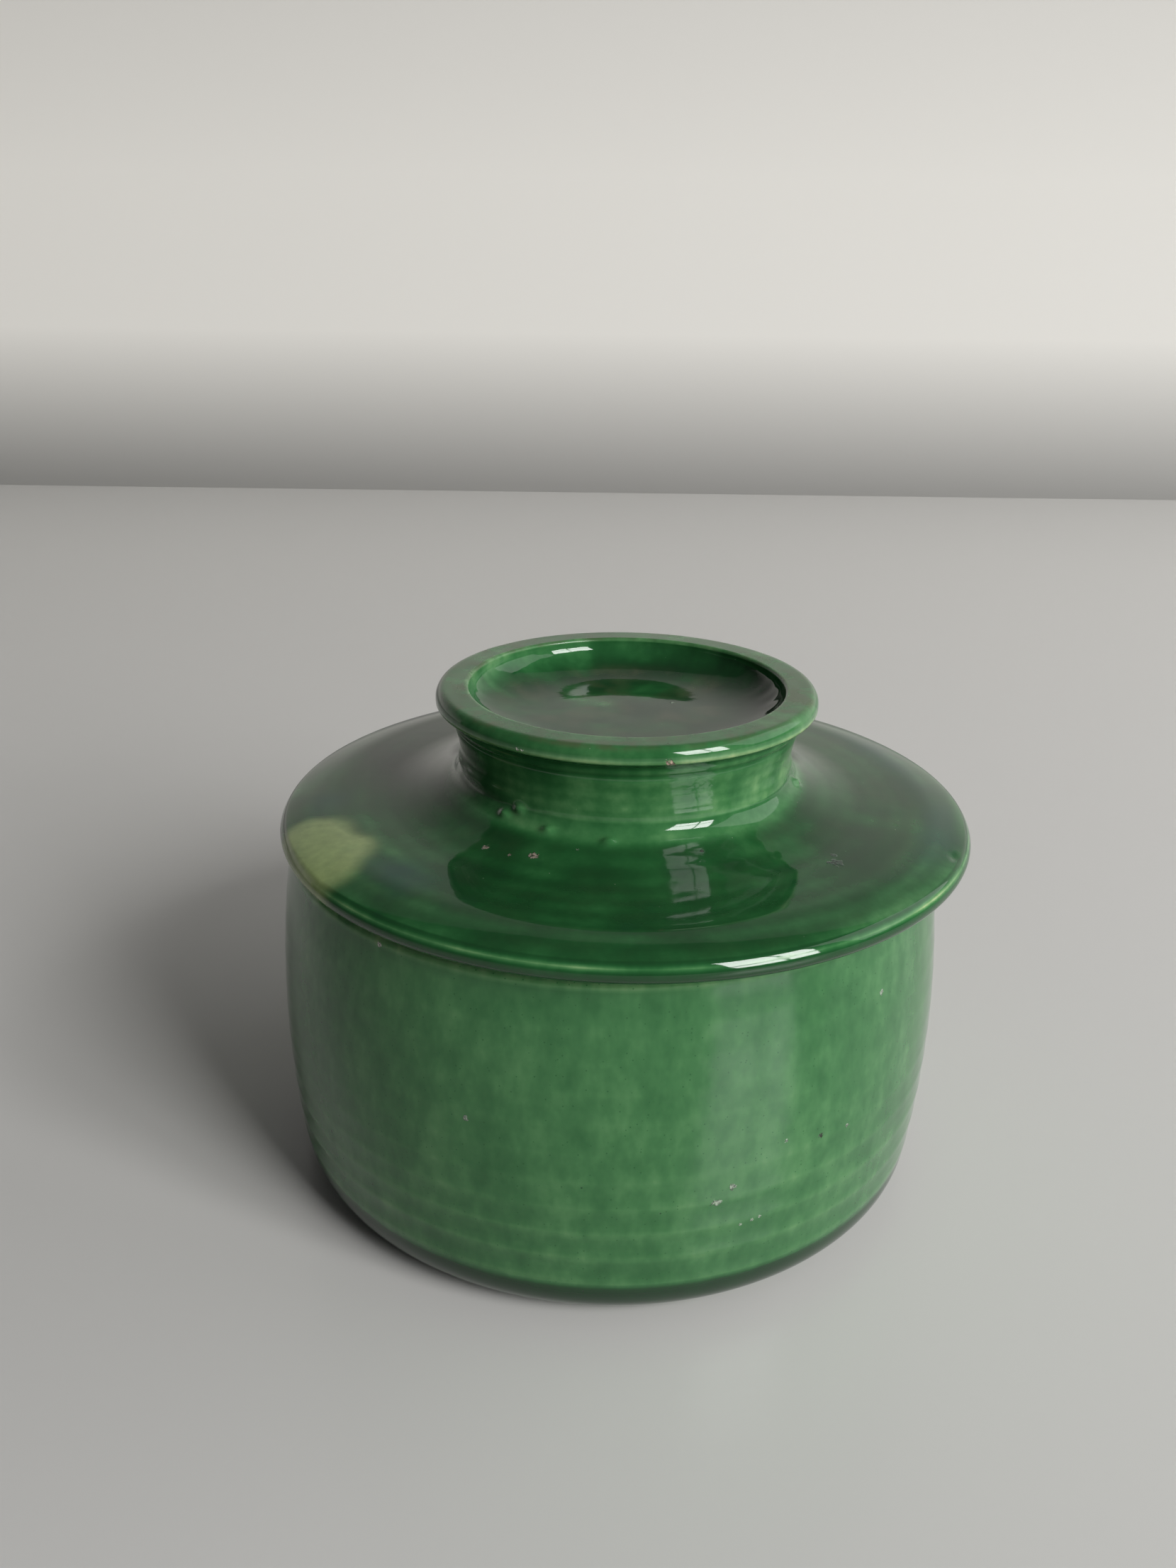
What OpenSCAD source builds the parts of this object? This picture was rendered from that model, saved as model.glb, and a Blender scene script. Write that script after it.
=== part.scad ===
// Lidded crock of green-glazed earthenware, thrown on a wheel.
// The lid is a bell-shaped cup under a wide brim, and its grip ring is also the foot
// on which the lid stands when it is turned over.
// Millimetres, +Z up. The origin is the centre of the crock's flat base.

/* [Crock] */
// Widest diameter of the crock
crock_d = 128; // [118:1:140]
// Height of the crock to the top of its rim
crock_h = 68; // [60:1:80]
// Height at which the crock is widest
belly_z = 33; // [26:1:38]
// Radius of the bulge of the wall, seen from the side
belly_curve = 197; // [160:1:260]
// Radius of the rounded corner between wall and base
corner_r = 9.5; // [7:0.5:12]
// Thickness of the wall, which is also the width of its rounded rim
wall_t = 5; // [4:0.25:6.5]
// Thickness of the floor
floor_t = 7; // [5:0.5:9]
// Radius of the corner between wall and floor, inside
inside_corner_r = 8; // [5:0.5:12]

/* [Lid brim] */
// Diameter of the brim
brim_d = 130; // [122:1:140]
// Thickness of the brim at its rounded edge
brim_edge_t = 4.3; // [3.4:0.1:5]
// Slope of the brim's top next to its edge, in degrees
brim_edge_slope = 18; // [14:1:22]
// Slope of the nearly flat middle of the brim's top, in degrees
brim_flat_slope = 2.8; // [1.5:0.1:4]
// Rise from the top of the edge to the nearly flat middle
brim_flat_rise = 1.5; // [1.3:0.05:1.7]
// Slope of the brim's top where it meets the neck, in degrees
brim_neck_slope = 26; // [22:1:30]

/* [Grip ring] */
// Diameter of the grip ring
ring_d = 71; // [69:0.5:74]
// Thickness of the grip ring at its edge
ring_edge_t = 3.2; // [2.8:0.1:4]
// Radius of the ring's upper corner
ring_top_r = 1.7; // [1:0.1:2]
// Radius of the ring's lower corner
ring_bottom_r = 0.7; // [0.4:0.1:0.8]
// Height of the ring's flat top above the crock's rim
ring_top_h = 27.2; // [26.5:0.1:28]
// Depth of the step from the ring's edge in to the neck
ring_step = 2.1; // [1.6:0.1:2.4]
// Diameter of the neck at its narrowest
neck_d = 62.2; // [60:0.2:63]
// Height of the narrowest place of the neck above the crock's rim
neck_h = 13.2; // [12.8:0.1:13.6]
// Radius of the curve from the neck down to the brim
neck_foot_r = 4; // [3.6:0.1:4.4]
// Diameter of the recess in the ring
recess_d = 58.6; // [56:0.2:60]
// Depth of the recess in the ring, at its middle
recess_depth = 7; // [5:0.25:7.5]

/* [Bell] */
// Diameter of the bell where it leaves the brim
bell_top_d = 92; // [86:1:96]
// Diameter of the bell at its open mouth
bell_mouth_d = 90; // [84:1:94]
// Thickness of the bell's wall
bell_wall_t = 5; // [4:0.25:6]
// Gap between the bell's mouth and the crock's floor
bell_floor_gap = 18; // [12:1:30]
// Height of the bell's domed ceiling
dome_h = 24; // [20:1:24]
// Clay left between the dome and the recess above it
crown_t = 6.2; // [5.5:0.1:8]

/* [Fit] */
// How far the lid sits off the crock's centre, as it was put down
lid_shift = 2.4; // [0:0.1:4]
// Play between the brim and the crock's rim
seat_gap = 0.1; // [0.05:0.05:0.3]

/* [Hidden] */
$fn = 128;

// How many straight steps an arc is drawn with.
arc_steps = 10;
long_arc_steps = 18;

crock_green = [0.24, 0.45, 0.27];
lid_green = [0.11, 0.34, 0.18];
ring_green = [0.16, 0.40, 0.23];
bell_green = [0.20, 0.42, 0.25];

// The wall's bulge is one arc, and every other arc of the crock is tangent to it.
belly_x = crock_d / 2 - belly_curve;
rim_r = wall_t / 2;
rim_z = crock_h - rim_r;
rim_angle = asin((rim_z - belly_z) / (belly_curve - rim_r));
rim_x = belly_x + (belly_curve - rim_r) * cos(rim_angle);
corner_angle = -asin((belly_z - corner_r) / (belly_curve - corner_r));
corner_x = belly_x + (belly_curve - corner_r) * cos(corner_angle);
inside_curve = belly_curve - wall_t;
inside_corner_z = floor_t + inside_corner_r;
inside_corner_angle = -asin((belly_z - inside_corner_z) / (inside_curve - inside_corner_r));
inside_corner_x = belly_x + (inside_curve - inside_corner_r) * cos(inside_corner_angle);

// Heights of the lid, which rests on the crock's rim.
brim_z = crock_h + seat_gap;
edge_r = brim_edge_t / 2;
edge_x = brim_d / 2 - edge_r;
edge_z = brim_z + edge_r;
neck_z = brim_z + neck_h;
foot_x = neck_d / 2 + neck_foot_r;
foot_angle = 270 - brim_neck_slope;

// The nearly flat middle of the brim's top, from its outer end to its inner end.
flat_outer_x = brim_d / 2 - 9.5;
flat_inner_x = brim_d / 2 - 19;
flat_outer_z = brim_z + brim_edge_t + brim_flat_rise;
flat_inner_z = flat_outer_z + (flat_outer_x - flat_inner_x) * tan(brim_flat_slope);

ring_top_z = brim_z + ring_top_h;
ring_bottom_z = ring_top_z - ring_edge_t;

// The neck flares up to the inner end of the step under the ring, on one arc.
step_drop = 0.8;
flare_rise = ring_bottom_z - step_drop - neck_z;
flare_run = ring_d / 2 - ring_step - neck_d / 2;
flare_r = (flare_rise * flare_rise + flare_run * flare_run) / (2 * flare_run);
flare_angle = asin(flare_rise / flare_r);

// The recess is a bowl. Its wall leans in, and bends into a middle that falls gently to the axis.
recess_edge_r = 0.7;
recess_lean = 2;
recess_slope = 2.2;
recess_floor_z = ring_top_z - recess_depth;
recess_foot_x = recess_d / 2 - recess_lean;
recess_middle_x = recess_d * 0.3;

// The neck was thrown apart from the brim: this is the height of the join between them.
join_z = neck_z - 0.9;

// Heights of the bell.
bell_mouth_z = floor_t + bell_floor_gap;
bell_lip_r = bell_wall_t / 2;
bell_fillet_r = 3;
dome_top_z = recess_floor_z - crown_t;
dome_z = dome_top_z - dome_h;
dome_r = bell_top_d / 2 - bell_wall_t;
reach = brim_d;

// Points along an arc around centre c, from angle a0 to angle a1.
function arc(c, r, a0, a1, steps) =
    [for (i = [0 : steps]) c + r * [cos(a0 + (a1 - a0) * i / steps), sin(a0 + (a1 - a0) * i / steps)]];

// Points along a smooth bend from p to q that is pulled towards the corner k.
function bend(p, k, q, steps) =
    [for (i = [0 : steps]) let (t = i / steps) (1 - t) * (1 - t) * p + 2 * t * (1 - t) * k + t * t * q];

// The corner where a line from p at angle a crosses a line from q at angle b.
function corner(p, a, q, b) =
    let (run = ((q[1] - p[1]) - tan(b) * (q[0] - p[0])) / (tan(a) - tan(b)))
    [p[0] + run, p[1] + run * tan(a)];

crock_outside = concat(
    arc([corner_x, corner_r], corner_r, -90, corner_angle, arc_steps),
    arc([belly_x, belly_z], belly_curve, corner_angle, rim_angle, long_arc_steps));

crock_rim = arc([rim_x, rim_z], rim_r, rim_angle, 180 + rim_angle, arc_steps);

crock_inside = concat(
    arc([belly_x, belly_z], inside_curve, rim_angle, inside_corner_angle, long_arc_steps),
    arc([inside_corner_x, inside_corner_z], inside_corner_r, inside_corner_angle, -90, arc_steps));

dome = [for (i = [0 : long_arc_steps])
    [dome_r * sin(90 * i / long_arc_steps), dome_z + dome_h * cos(90 * i / long_arc_steps)]];

bell_lip = arc([bell_mouth_d / 2 - bell_lip_r, bell_mouth_z + bell_lip_r], bell_lip_r, -180, 0, arc_steps);

bell_fillet = bend([bell_top_d / 2, brim_z - bell_fillet_r], [bell_top_d / 2, brim_z],
    [bell_top_d / 2 + bell_fillet_r, brim_z], arc_steps);

brim_edge = arc([edge_x, edge_z], edge_r, -90, 90 - brim_edge_slope, arc_steps);

// A smooth bend that leaves p with one downward slope and reaches q with another.
function slope_bend(p, p_slope, q, q_slope, steps) = bend(p, corner(p, -p_slope, q, -q_slope), q, steps);

brim_top_end = [foot_x, neck_z] + neck_foot_r * [cos(foot_angle), sin(foot_angle)];
brim_top = concat(
    slope_bend(brim_edge[arc_steps], brim_edge_slope, [flat_outer_x, flat_outer_z], brim_flat_slope, arc_steps),
    slope_bend([flat_inner_x, flat_inner_z], brim_flat_slope, brim_top_end, brim_neck_slope, long_arc_steps));

neck = concat(
    arc([foot_x, neck_z], neck_foot_r, foot_angle, 180, arc_steps),
    arc([neck_d / 2 + flare_r, neck_z], flare_r, 180, 180 - flare_angle, arc_steps));

ring_edge = concat(
    arc([ring_d / 2 - ring_bottom_r, ring_bottom_z + ring_bottom_r], ring_bottom_r, -110, 0, arc_steps),
    arc([ring_d / 2 - ring_top_r, ring_top_z - ring_top_r], ring_top_r, 0, 90, arc_steps));

recess_lip = arc([recess_d / 2 + recess_edge_r, ring_top_z - recess_edge_r], recess_edge_r, 90, 180, arc_steps);

recess = concat(
    bend(recess_lip[arc_steps],
        [recess_foot_x, recess_floor_z + recess_foot_x * tan(recess_slope)],
        [recess_middle_x, recess_floor_z + recess_middle_x * tan(recess_slope)], long_arc_steps),
    [[0, recess_floor_z]]);

crock_outline = concat([[0, 0]], crock_outside, crock_rim, crock_inside, [[0, floor_t]]);
lid_outline = concat(dome, bell_lip, bell_fillet, brim_edge, brim_top, neck, ring_edge, recess_lip, recess);

// A turned piece: the stretch of an outline between two heights.
module turned(outline, bottom, top) {
    rotate_extrude()
        intersection() {
            polygon(outline);
            translate([0, bottom]) square([reach, top - bottom]);
        }
}

// The lid's outline is drawn round its own axis, which sits beside the crock's.
module on_lid_axis() {
    translate([lid_shift, 0, 0]) children();
}

module crock_wall() {
    color(crock_green) turned(crock_outline, floor_t, crock_h);
}

module crock_floor() {
    color(crock_green) turned(crock_outline, 0, floor_t);
}

module lid_brim() {
    color(lid_green) on_lid_axis() turned(lid_outline, brim_z, join_z);
}

module lid_grip_ring() {
    color(ring_green) on_lid_axis() turned(lid_outline, join_z, ring_top_z);
}

module lid_bell() {
    color(bell_green) on_lid_axis() turned(lid_outline, bell_mouth_z, brim_z);
}

crock_wall();
crock_floor();
lid_brim();
lid_grip_ring();
lid_bell();
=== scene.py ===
import math

import bpy
import numpy as np
from mathutils import Matrix, Vector


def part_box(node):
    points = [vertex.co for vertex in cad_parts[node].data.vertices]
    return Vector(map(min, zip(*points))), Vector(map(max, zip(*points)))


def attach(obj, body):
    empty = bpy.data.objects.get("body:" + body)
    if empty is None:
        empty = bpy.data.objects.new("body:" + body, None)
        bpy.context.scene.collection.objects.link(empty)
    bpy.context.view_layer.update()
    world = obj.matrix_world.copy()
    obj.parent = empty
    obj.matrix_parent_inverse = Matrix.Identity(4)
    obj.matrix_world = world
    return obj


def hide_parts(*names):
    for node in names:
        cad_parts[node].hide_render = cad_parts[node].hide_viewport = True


# A lidded crock of thrown, green-glazed earthenware. The CAD nodes give every main size.
# Each visible piece is a turned surface with the small errors of hand throwing, and its
# glaze is coloured by how thickly it lies.

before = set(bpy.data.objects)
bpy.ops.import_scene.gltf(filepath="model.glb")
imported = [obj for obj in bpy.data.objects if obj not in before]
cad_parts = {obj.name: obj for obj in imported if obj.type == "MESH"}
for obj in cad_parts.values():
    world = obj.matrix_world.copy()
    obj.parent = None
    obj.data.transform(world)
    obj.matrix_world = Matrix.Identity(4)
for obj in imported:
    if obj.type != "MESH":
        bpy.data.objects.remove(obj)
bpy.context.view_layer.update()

MM = 0.001

# ---------------------------------------------------------------------------
# Sizes
# ---------------------------------------------------------------------------

wall_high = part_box("crock_wall")[1]
floor_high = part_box("crock_floor")[1]
brim_low, brim_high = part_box("lid_brim")
ring_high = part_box("lid_grip_ring")[1]
bell_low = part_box("lid_bell")[0]

LID_X = (brim_low.x + brim_high.x) / 2
CROCK_R = wall_high.x
CROCK_TOP = wall_high.z
FLOOR_T = floor_high.z
BRIM_R = brim_high.x - LID_X
BRIM_Z = brim_low.z
JOIN_Z = brim_high.z
RING_R = ring_high.x - LID_X
RING_TOP = ring_high.z
BELL_MOUTH_Z = bell_low.z

# The same curves as the CAD model's, worked out from the sizes above. Only the bowl of the recess
# differs, by half a millimetre at most: its middle is flatter.
WALL_T = 5 * MM
BELLY_Z = 33 * MM
BELLY_CURVE = 197 * MM
CORNER_R = 9.5 * MM
INSIDE_CORNER_R = 8 * MM

BRIM_EDGE_R = 2.15 * MM
BRIM_EDGE_SLOPE = 18
BRIM_FLAT_SLOPE = 2.8
BRIM_NECK_SLOPE = 26
BRIM_FLAT_Z = BRIM_Z + 2 * BRIM_EDGE_R + 1.5 * MM
BRIM_FLAT_OUTER = BRIM_R - 9.5 * MM
BRIM_FLAT_INNER = BRIM_R - 19 * MM
NECK_R = 31.1 * MM
NECK_Z = JOIN_Z + 0.9 * MM
NECK_FOOT_R = 4 * MM
RING_EDGE_T = 3.2 * MM
RING_TOP_R = 1.7 * MM
RING_BOTTOM_R = 0.7 * MM
RING_STEP = 2.1 * MM
RING_STEP_DROP = 0.8 * MM
RING_BOTTOM = RING_TOP - RING_EDGE_T
RECESS_R = 29.3 * MM
RECESS_LIP_R = 0.7 * MM
RECESS_Z = RING_TOP - 6.62 * MM
RECESS_FOOT_R = RECESS_R - 0.73 * MM
RECESS_MIDDLE_R = RECESS_R * 0.5
RECESS_SLOPE = 0.5

BELL_TOP_R = 46 * MM
BELL_MOUTH_R = 45 * MM
BELL_WALL_T = 5 * MM
BELL_FILLET_R = 3 * MM
DOME_TOP_Z = RING_TOP - 13.2 * MM
DOME_H = 24 * MM

# How many points go round the axis, and how far apart the points of an outline are: fine where the
# surface shows, and coarse where it doesn't.
SEGMENTS = 448
FINE = 0.75 * MM
COARSE = 2.4 * MM


# ---------------------------------------------------------------------------
# Outlines, as points (radius, height)
# ---------------------------------------------------------------------------

def arc(centre, radius, start, end, steps=48):
    """Points along an arc, angles in degrees."""
    angle = np.radians(np.linspace(start, end, steps + 1))
    return np.column_stack([centre[0] + radius * np.cos(angle), centre[1] + radius * np.sin(angle)])


def bend(start, pull, end, steps=48):
    """Points along a smooth bend from start to end that is pulled towards a corner."""
    t = np.linspace(0, 1, steps + 1)[:, None]
    return (1 - t) ** 2 * np.array(start) + 2 * t * (1 - t) * np.array(pull) + t * t * np.array(end)


def corner(start, start_angle, end, end_angle):
    """The corner where a line from start crosses a line from end, angles in degrees."""
    a = math.tan(math.radians(start_angle))
    b = math.tan(math.radians(end_angle))
    run = ((end[1] - start[1]) - b * (end[0] - start[0])) / (a - b)
    return (start[0] + run, start[1] + run * a)


def slope_bend(start, start_slope, end, end_slope):
    """A smooth bend that leaves start with one downward slope and reaches end with another."""
    return bend(start, corner(start, -start_slope, end, -end_slope), end)


def evenly(points, spacing):
    """The same line with points evenly spaced along it, without its last point."""
    gaps = np.hypot(*np.diff(points, axis=0).T)
    along = np.concatenate([[0], np.cumsum(gaps)])
    count = max(2, round(along[-1] / spacing))
    wanted = np.linspace(0, along[-1], count + 1)[:-1]
    return np.column_stack([np.interp(wanted, along, points[:, k]) for k in (0, 1)])


def split_at(points, height):
    """The line cut in two where it first crosses a height. Both parts hold the point of the cut."""
    k = int(np.argmax(np.diff(np.sign(points[:, 1] - height)) != 0))
    share = (height - points[k, 1]) / (points[k + 1, 1] - points[k, 1])
    cut = points[k] + share * (points[k + 1] - points[k])
    return np.vstack([points[:k + 1], [cut]]), np.vstack([[cut], points[k + 1:]])


def crock_outline():
    """Stretches of the crock's outline, from the middle of its base to the middle of its floor."""
    belly_x = CROCK_R - BELLY_CURVE
    rim_r = WALL_T / 2
    rim_angle = math.degrees(math.asin((CROCK_TOP - rim_r - BELLY_Z) / (BELLY_CURVE - rim_r)))
    rim_x = belly_x + (BELLY_CURVE - rim_r) * math.cos(math.radians(rim_angle))
    low_angle = -math.degrees(math.asin((BELLY_Z - CORNER_R) / (BELLY_CURVE - CORNER_R)))
    low_x = belly_x + (BELLY_CURVE - CORNER_R) * math.cos(math.radians(low_angle))
    inside = BELLY_CURVE - WALL_T
    in_z = FLOOR_T + INSIDE_CORNER_R
    in_angle = -math.degrees(math.asin((BELLY_Z - in_z) / (inside - INSIDE_CORNER_R)))
    in_x = belly_x + (inside - INSIDE_CORNER_R) * math.cos(math.radians(in_angle))
    base = np.array([[0, 0], [low_x, 0]])
    outside_corner = arc((low_x, CORNER_R), CORNER_R, -90, low_angle)
    wall = arc((belly_x, BELLY_Z), BELLY_CURVE, low_angle, rim_angle, 96)
    rim = arc((rim_x, CROCK_TOP - rim_r), rim_r, rim_angle, 180 + rim_angle)
    inside_wall = arc((belly_x, BELLY_Z), inside, rim_angle, in_angle, 96)
    inside_corner = arc((in_x, in_z), INSIDE_CORNER_R, in_angle, -90)
    floor = np.array([[in_x, FLOOR_T], [0, FLOOR_T]])
    return [
        ("base", evenly(base, COARSE)),
        ("corner", evenly(outside_corner, FINE)),
        ("wall", evenly(wall, FINE)),
        ("rim", evenly(rim, FINE / 1.5)),
        ("inside_wall", evenly(inside_wall, COARSE)),
        ("inside_corner", evenly(inside_corner, COARSE)),
        ("floor", np.vstack([evenly(floor, COARSE), floor[-1:]])),
    ]


def bell_stretches(edge):
    """From the top of the dome inside the lid, round the bell's lip and out to the brim's edge."""
    dome_z = DOME_TOP_Z - DOME_H
    dome_r = BELL_TOP_R - BELL_WALL_T
    quarter = np.radians(np.linspace(0, 90, 97))
    dome = np.column_stack([dome_r * np.sin(quarter), dome_z + DOME_H * np.cos(quarter)])
    crown, below_join = split_at(dome, JOIN_Z)
    shoulder, cup_top = split_at(below_join, BRIM_Z)
    lip_r = BELL_WALL_T / 2
    lip = arc((BELL_MOUTH_R - lip_r, BELL_MOUTH_Z + lip_r), lip_r, -180, 0)
    fillet_low = (BELL_TOP_R, BRIM_Z - BELL_FILLET_R)
    fillet = bend(fillet_low, (BELL_TOP_R, BRIM_Z), (BELL_TOP_R + BELL_FILLET_R, BRIM_Z))
    return [
        ("crown", evenly(crown, COARSE)),
        ("shoulder", evenly(shoulder, COARSE)),
        ("cup", evenly(np.vstack([cup_top, lip[:1]]), COARSE)),
        ("lip", evenly(lip, FINE)),
        ("bell", evenly(np.array([lip[-1], fillet[0]]), COARSE)),
        ("fillet", evenly(fillet, FINE)),
        ("underside", evenly(np.array([fillet[-1], edge[0]]), COARSE)),
    ]


def brim_stretches(edge, foot):
    """Round the brim's edge, over its top and up to the join with the neck."""
    flat_rise = (BRIM_FLAT_OUTER - BRIM_FLAT_INNER) * math.tan(math.radians(BRIM_FLAT_SLOPE))
    flat_outer = (BRIM_FLAT_OUTER, BRIM_FLAT_Z)
    flat_inner = (BRIM_FLAT_INNER, BRIM_FLAT_Z + flat_rise)
    fall = slope_bend(edge[-1], BRIM_EDGE_SLOPE, flat_outer, BRIM_FLAT_SLOPE)
    climb = slope_bend(flat_inner, BRIM_FLAT_SLOPE, foot[0], BRIM_NECK_SLOPE)
    return [
        ("edge", evenly(edge, FINE / 2)),
        ("top", evenly(np.vstack([fall, climb]), FINE)),
        ("foot", evenly(foot, FINE / 2)),
    ]


def ring_stretches(above_join):
    """Up the neck, round the ring, and down to the middle of the recess."""
    rise = RING_BOTTOM - RING_STEP_DROP - NECK_Z
    run = RING_R - RING_STEP - NECK_R
    flare_r = (rise * rise + run * run) / (2 * run)
    flare_angle = math.degrees(math.asin(rise / flare_r))
    flare = arc((NECK_R + flare_r, NECK_Z), flare_r, 180, 180 - flare_angle)
    low_corner = arc((RING_R - RING_BOTTOM_R, RING_BOTTOM + RING_BOTTOM_R), RING_BOTTOM_R, -110, 0)
    high_corner = arc((RING_R - RING_TOP_R, RING_TOP - RING_TOP_R), RING_TOP_R, 0, 90)
    lip = arc((RECESS_R + RECESS_LIP_R, RING_TOP - RECESS_LIP_R), RECESS_LIP_R, 90, 180)
    slope = math.tan(math.radians(RECESS_SLOPE))
    recess_foot = (RECESS_FOOT_R, RECESS_Z + RECESS_FOOT_R * slope)
    recess_middle = (RECESS_MIDDLE_R, RECESS_Z + RECESS_MIDDLE_R * slope)
    bowl = np.vstack([bend(lip[-1], recess_foot, recess_middle), [[0, RECESS_Z]]])
    return [
        ("neck", evenly(np.vstack([above_join, flare, low_corner[:1]]), FINE / 1.5)),
        ("ring", evenly(np.vstack([low_corner, high_corner, lip[:1]]), FINE / 2)),
        ("recess_lip", evenly(lip, FINE / 4)),
        ("recess", np.vstack([evenly(bowl, FINE), bowl[-1:]])),
    ]


def lid_outline():
    """Stretches of the lid's outline, from the top of the dome inside it to the middle of the recess."""
    edge = arc((BRIM_R - BRIM_EDGE_R, BRIM_Z + BRIM_EDGE_R), BRIM_EDGE_R, -90, 90 - BRIM_EDGE_SLOPE)
    foot = arc((NECK_R + NECK_FOOT_R, NECK_Z), NECK_FOOT_R, 270 - BRIM_NECK_SLOPE, 180)
    below_join, above_join = split_at(foot, JOIN_Z)
    return bell_stretches(edge) + brim_stretches(edge, below_join) + ring_stretches(above_join)


def joined(stretches):
    """One line from all stretches, and the first row of each."""
    starts = {}
    row = 0
    for name, points in stretches:
        starts[name] = row
        row += len(points)
    return np.vstack([points for _, points in stretches]), starts


# ---------------------------------------------------------------------------
# Turning an outline into a surface
# ---------------------------------------------------------------------------

ANGLE = np.linspace(0, 2 * math.pi, SEGMENTS, endpoint=False)[None, :]


def spun(line, axis_x):
    """A grid of points: one row for each point of the outline, one column for each direction."""
    r, z = line[:, :1], line[:, 1:]
    return np.stack([axis_x + r * np.cos(ANGLE), r * np.sin(ANGLE), z + 0 * ANGLE], axis=-1)


def normals_of(grid):
    """Unit normals of a grid of points whose rows run round the axis."""
    along = np.gradient(grid, axis=0)
    around = np.roll(grid, -1, axis=1) - np.roll(grid, 1, axis=1)
    normal = np.cross(around, along)
    size = np.linalg.norm(normal, axis=-1, keepdims=True)
    return normal / np.maximum(size, 1e-12)


def smooth_step(value, start, end):
    """0 before start, 1 after end, and a smooth rise between them."""
    t = np.clip((value - start) / (end - start), 0, 1)
    return t * t * (3 - 2 * t)


def bump_at(value, centre, width):
    """A smooth bump of height 1 and of that half width."""
    return np.exp(-((value - centre) / width) ** 2)


def away_from(direction):
    """How far each column is from a direction given in degrees, in radians either way."""
    return (ANGLE - math.radians(direction) + math.pi) % (2 * math.pi) - math.pi


def patches(along, cell, around_cells, seed):
    """Smooth random values from -1 to 1 on the grid, in cells of that length along the outline."""
    rows = int(along.max() / cell) + 3
    lattice = np.random.default_rng(seed).uniform(-1, 1, (rows, around_cells))
    u = along / cell
    v = ANGLE / (2 * math.pi) * around_cells
    row, col = np.floor(u).astype(int), np.floor(v).astype(int)
    fu, fv = u - row, v - col
    fu, fv = fu * fu * (3 - 2 * fu), fv * fv * (3 - 2 * fv)
    right = (col + 1) % around_cells
    low = lattice[row, col] * (1 - fv) + lattice[row, right] * fv
    high = lattice[row + 1, col] * (1 - fv) + lattice[row + 1, right] * fv
    return low * (1 - fu) + high * fu


def dapples(grid, size, seed):
    """Smooth random values of about -1 to 1, from waves of about that length that cross in plan."""
    rng = np.random.default_rng(seed)
    total = np.zeros(grid.shape[:2])
    for _ in range(9):
        heading, phase = rng.uniform(0, 2 * math.pi, 2)
        turn = 2 * math.pi / (size * rng.uniform(0.6, 1.6))
        ahead = grid[..., 0] * math.cos(heading) + grid[..., 1] * math.sin(heading)
        total += np.sin(ahead * turn + phase)
    return total / 3


class Turned:
    """A turned surface: its grid of points, and what the glaze does at each of them."""

    def __init__(self, stretches, axis_x):
        line, self.starts = joined(stretches)
        self.r, self.z = line[:, :1], line[:, 1:]
        self.row = np.arange(len(line))[:, None]
        self.along = np.concatenate([[0], np.cumsum(np.hypot(*np.diff(line, axis=0).T))])[:, None]
        self.grid = spun(line, axis_x)
        self.normals = normals_of(self.grid)
        flat = np.zeros(self.grid.shape[:2])
        self.marks = {name: flat.copy() for name in ("glaze", "yellow", "blue", "bare", "worn", "dust_and_sheen")}
        self.marks["glaze"] += 1

    def on(self, first, after):
        """1 on the rows from one stretch up to another, and 0 elsewhere."""
        return ((self.row >= self.starts[first]) & (self.row < self.starts[after])) * 1.0

    def beyond(self, first):
        """1 on the rows from the start of a stretch to the last row, and 0 before."""
        return (self.row >= self.starts[first]) * 1.0

    def since(self, stretch):
        """Distance along the outline from where a stretch begins."""
        return self.along - self.along[self.starts[stretch]]

    def spot(self, radius, height, direction, long, wide):
        """A smooth spot of height 1, with its half widths along the outline and round the axis."""
        row = int(np.argmin(np.hypot(self.r - radius, self.z - height)))
        across = away_from(direction) * radius
        return bump_at(self.along, self.along[row], long) * bump_at(across, 0, wide)

    def press(self, depth):
        """Moves the surface in by a depth."""
        self.grid = self.grid - self.normals * depth[..., None]
        self.normals = normals_of(self.grid)


def link(name, data):
    thing = bpy.data.objects.new(name, data)
    bpy.context.scene.collection.objects.link(thing)
    return thing


def gathered(turned, rows):
    """The points and marks of some rows, and each row's normals and the numbers of its points.

    Where the rows begin at the grid's first row, their first and last are poles of one point each.
    """
    points, shade, index = [], [], []
    marks = {key: [] for key in turned.marks}
    total = 0
    for k, row in enumerate(rows):
        pole = rows[0] == 0 and k in (0, len(rows) - 1)
        pick = slice(0, 1) if pole else slice(None)
        points.append(turned.grid[row].mean(axis=0)[None] if pole else turned.grid[row])
        for key in marks:
            marks[key].append(turned.marks[key][row][pick])
        normal = turned.normals[row]
        shade.append(np.tile(normal.mean(axis=0), (SEGMENTS, 1)) if pole else normal)
        index.append(np.full(SEGMENTS, total) if pole else total + np.arange(SEGMENTS))
        total += 1 if pole else SEGMENTS
    return points, marks, shade, index


def faces_between(index, shade, open_ends, cuts):
    """Faces from each row to the next, and the normals at their corners."""
    last = len(index) - 1
    faces, corner_normals = [], []
    for a in range(last if open_ends else last + 1):
        b = (a + 1) % (last + 1)
        quad = np.stack([index[a], np.roll(index[a], -1), np.roll(index[b], -1), index[b]], axis=1)
        if a in cuts:
            light = np.tile([0.0, 0.0, cuts[a]], (SEGMENTS, 4, 1))
        else:
            sides = [shade[a], np.roll(shade[a], -1, axis=0), np.roll(shade[b], -1, axis=0), shade[b]]
            light = np.stack(sides, axis=1)
        keep = [0, 1, 2, 3]
        if open_ends and a == 0:
            keep = [0, 2, 3]
        elif open_ends and b == last:
            keep = [0, 1, 2]
        faces += quad[:, keep].tolist()
        corner_normals.append(light[:, keep].reshape(-1, 3))
    return faces, corner_normals


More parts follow.
